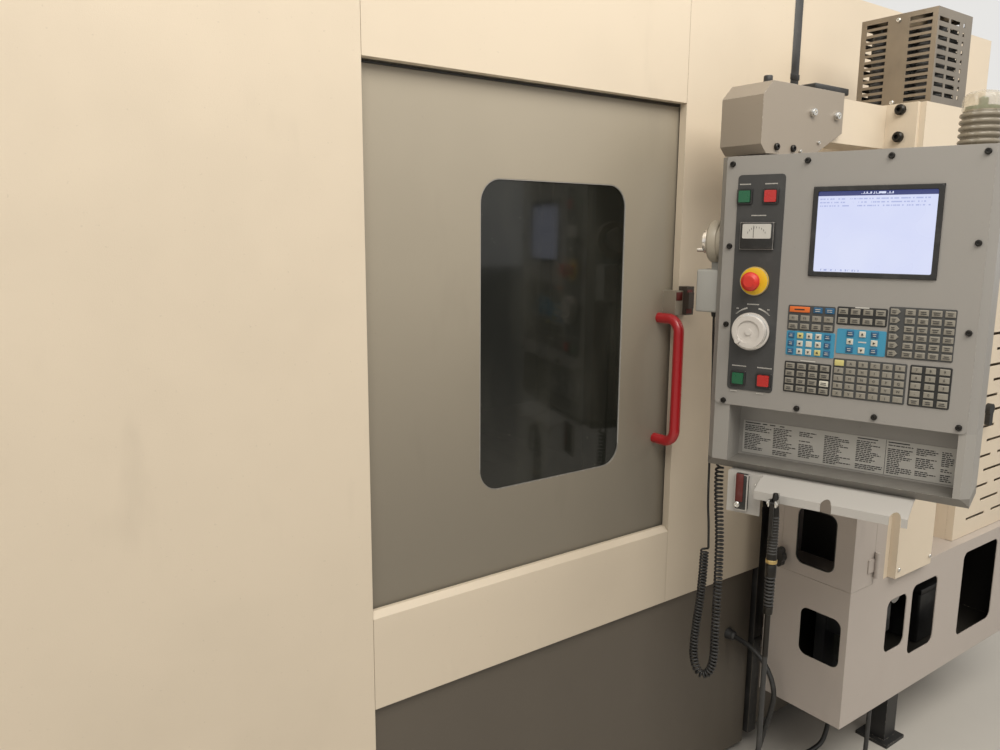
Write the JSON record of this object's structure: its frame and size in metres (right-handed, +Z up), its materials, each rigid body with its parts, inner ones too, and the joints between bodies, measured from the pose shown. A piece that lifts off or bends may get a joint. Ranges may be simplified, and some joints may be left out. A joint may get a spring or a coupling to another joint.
{
  "type": "horizontal cnc machining center",
  "caption": "Enclosed horizontal machining center with a sliding windowed door, pallet changer, swivelling control pendant and side cabinets.",
  "frame": {"origin": "middle of the underside of the front left levelling pad, on the floor", "axes": "+X to the right along the machine's front, +Y from the front into the machine, +Z up"},
  "size_m": [3.248, 3.364, 2.4],
  "materials": {
    "cream_paint": "satin",
    "door_paint": "satin",
    "skirt_paint": "satin",
    "pendant_paint": "satin",
    "cabinet_paint": "satin",
    "casting_paint": "satin",
    "white_paint": "satin",
    "red_coat": "glossy",
    "window_glass": "smooth",
    "ground_steel": "ground",
    "cast_iron": "machined",
    "stainless": "brushed",
    "black_plastic": "matte",
    "brown_plastic": "matte",
    "grey_plastic": "matte",
    "key_plastic": "matte",
    "screen_plastic": "glossy",
    "beacon_plastic": "glossy",
    "white_plastic": "glossy",
    "green_plastic": "glossy",
    "red_plastic": "glossy",
    "chromed": "polished",
    "dark_rubber": "matte"
  },
  "bodies": {
    "machine": {"left_front_panel": "cream_paint", "door_header_panel": "cream_paint", "right_front_panel": "cream_paint", "door_sill_panel": "cream_paint", "base_skirt": "skirt_paint", "enclosure_shell": "cream_paint", "door_rail": "ground_steel", "door_interlock": "brown_plastic", "bed_casting": "casting_paint", "levelling_feet": "cast_iron", "guide_rails": "ground_steel", "tool_changer_frame": "casting_paint", "air_cabinet": "cabinet_paint", "air_unit": "grey_plastic", "tall_cabinet": "cabinet_paint", "resistor_cage": "stainless", "electrical_cabinet": "cream_paint", "boom_arm": "cream_paint", "swivel_cover": "stainless", "air_hose": "dark_rubber", "floor_cable": "dark_rubber"},
    "sliding_door": {"front_door": "door_paint", "door_window": "window_glass", "door_handle": "red_coat"},
    "column_body": {"column": "white_paint"},
    "head_body": {"spindle_head": "white_paint"},
    "spindle_body": {"spindle": "ground_steel"},
    "saddle_body": {"table_saddle": "casting_paint"},
    "table_body": {"rotary_table": "cast_iron"},
    "lift_body": {"changer_shaft": "ground_steel"},
    "changer_body": {"changer_fork": "casting_paint", "partition_wall": "white_paint", "load_pallet": "cast_iron", "machining_pallet": "cast_iron"},
    "carousel_body": {"tool_carousel": "ground_steel"},
    "arm_body": {"tool_change_arm": "ground_steel"},
    "auger_body": {"chip_auger": "cast_iron"},
    "corner_door_body": {"corner_door": "cabinet_paint"},
    "latch_body": {"corner_latch": "black_plastic"},
    "electrical_door_body": {"electrical_door": "cream_paint"},
    "cabinet_handle_body": {"electrical_handle": "black_plastic"},
    "pendant_body": {"pendant_housing": "pendant_paint", "pendant_face": "pendant_paint", "lcd_screen": "screen_plastic", "keypad": "key_plastic", "pendant_tray": "stainless", "hook_bracket": "white_paint", "beacon": "beacon_plastic", "remote_unit": "grey_plastic", "remote_lead": "dark_rubber", "remote_curl": "dark_rubber", "air_gun": "dark_rubber"},
    "gun_lever_body": {"gun_lever": "red_plastic"},
    "power_on_body": {"power_on_button": "green_plastic"},
    "power_off_body": {"power_off_button": "red_plastic"},
    "cycle_start_body": {"cycle_start_button": "green_plastic"},
    "feed_hold_body": {"feed_hold_button": "red_plastic"},
    "estop_body": {"estop_button": "red_plastic"},
    "jog_body": {"jog_dial": "white_plastic"},
    "wheel_body": {"remote_wheel": "chromed"}
  },
  "joints": [
    {"name": "door_slide", "type": "slide", "parent": "machine", "child": "sliding_door", "axis": [-1, 0, 0], "range_m": [0, 0.75]},
    {"name": "column_traverse", "type": "slide", "parent": "machine", "child": "column_body", "axis": [1, 0, 0], "range_m": [-0.254, 0.254]},
    {"name": "head_lift", "type": "slide", "parent": "column_body", "child": "head_body", "axis": [0, 0, 1], "range_m": [0, 0.508]},
    {"name": "spindle_spin", "type": "hinge", "parent": "head_body", "child": "spindle_body", "pos_m": [1.197, 1.7, 1.08], "axis": [0, 1, 0], "continuous": true},
    {"name": "table_feed", "type": "slide", "parent": "machine", "child": "saddle_body", "axis": [0, 1, 0], "range_m": [0, 0.508]},
    {"name": "rotary_turn", "type": "hinge", "parent": "saddle_body", "child": "table_body", "pos_m": [1.197, 1.06, 0.73], "axis": [0, 0, 1], "continuous": true},
    {"name": "changer_lift", "type": "slide", "parent": "machine", "child": "lift_body", "axis": [0, 0, 1], "range_m": [-0.08, 0]},
    {"name": "changer_turn", "type": "hinge", "parent": "lift_body", "child": "changer_body", "pos_m": [1.197, 0.66, 0.9], "axis": [0, 0, 1], "range_deg": [0, 180]},
    {"name": "carousel_turn", "type": "hinge", "parent": "machine", "child": "carousel_body", "pos_m": [0.2, 1.3, 1.45], "axis": [1, 0, 0], "continuous": true},
    {"name": "tool_arm_turn", "type": "hinge", "parent": "machine", "child": "arm_body", "pos_m": [0.623, 1.64, 1.08], "axis": [0, 1, 0], "range_deg": [-90, 90]},
    {"name": "auger_turn", "type": "hinge", "parent": "machine", "child": "auger_body", "pos_m": [1.7, 0.1, 0.205], "axis": [0, 1, 0], "continuous": true},
    {"name": "corner_door_hinge", "type": "hinge", "parent": "machine", "child": "corner_door_body", "pos_m": [2.034, -0.447, 0.66], "axis": [0, 0, 1], "range_deg": [0, 90]},
    {"name": "corner_latch_turn", "type": "hinge", "parent": "corner_door_body", "child": "latch_body", "pos_m": [1.936, -0.246, 0.6806], "axis": [1, 0, 0], "range_deg": [0, 90]},
    {"name": "electrical_door_hinge", "type": "hinge", "parent": "machine", "child": "electrical_door_body", "pos_m": [3.096, -0.422, 0.8], "axis": [0, 0, 1], "range_deg": [0, 110]},
    {"name": "cabinet_handle_turn", "type": "hinge", "parent": "electrical_door_body", "child": "cabinet_handle_body", "pos_m": [2.613, -0.414, 1.03], "axis": [0, 1, 0], "range_deg": [0, 90]},
    {"name": "pendant_swivel", "type": "hinge", "parent": "machine", "child": "pendant_body", "pos_m": [1.654, -0.306, 1.75], "axis": [0, 0, 1], "range_deg": [-38, 22]},
    {"name": "gun_lever_pull", "type": "hinge", "parent": "pendant_body", "child": "gun_lever_body", "pos_m": [1.50523, -0.49386, 0.977], "axis": [0.3123, -0.95, 0], "range_deg": [0, 6.5], "stiffness_Nm_per_rad": 1.5},
    {"name": "power_on_push", "type": "slide", "parent": "pendant_body", "child": "power_on_body", "axis": [0.95, 0.3123, 0], "range_m": [0, 0.003], "stiffness_N_per_m": 800},
    {"name": "power_off_push", "type": "slide", "parent": "pendant_body", "child": "power_off_body", "axis": [0.95, 0.3123, 0], "range_m": [0, 0.003], "stiffness_N_per_m": 800},
    {"name": "cycle_start_push", "type": "slide", "parent": "pendant_body", "child": "cycle_start_body", "axis": [0.95, 0.3123, 0], "range_m": [0, 0.003], "stiffness_N_per_m": 800},
    {"name": "feed_hold_push", "type": "slide", "parent": "pendant_body", "child": "feed_hold_body", "axis": [0.95, 0.3123, 0], "range_m": [0, 0.003], "stiffness_N_per_m": 800},
    {"name": "estop_push", "type": "slide", "parent": "pendant_body", "child": "estop_body", "axis": [0.95, 0.3123, 0], "range_m": [0, 0.006]},
    {"name": "jog_dial_spin", "type": "hinge", "parent": "pendant_body", "child": "jog_body", "pos_m": [1.5563, -0.38023, 1.32], "axis": [0.95, 0.3123, 0], "continuous": true},
    {"name": "remote_wheel_spin", "type": "hinge", "parent": "pendant_body", "child": "wheel_body", "pos_m": [1.5836, -0.27757, 1.507], "axis": [-0.3123, 0.95, 0], "continuous": true}
  ]
}
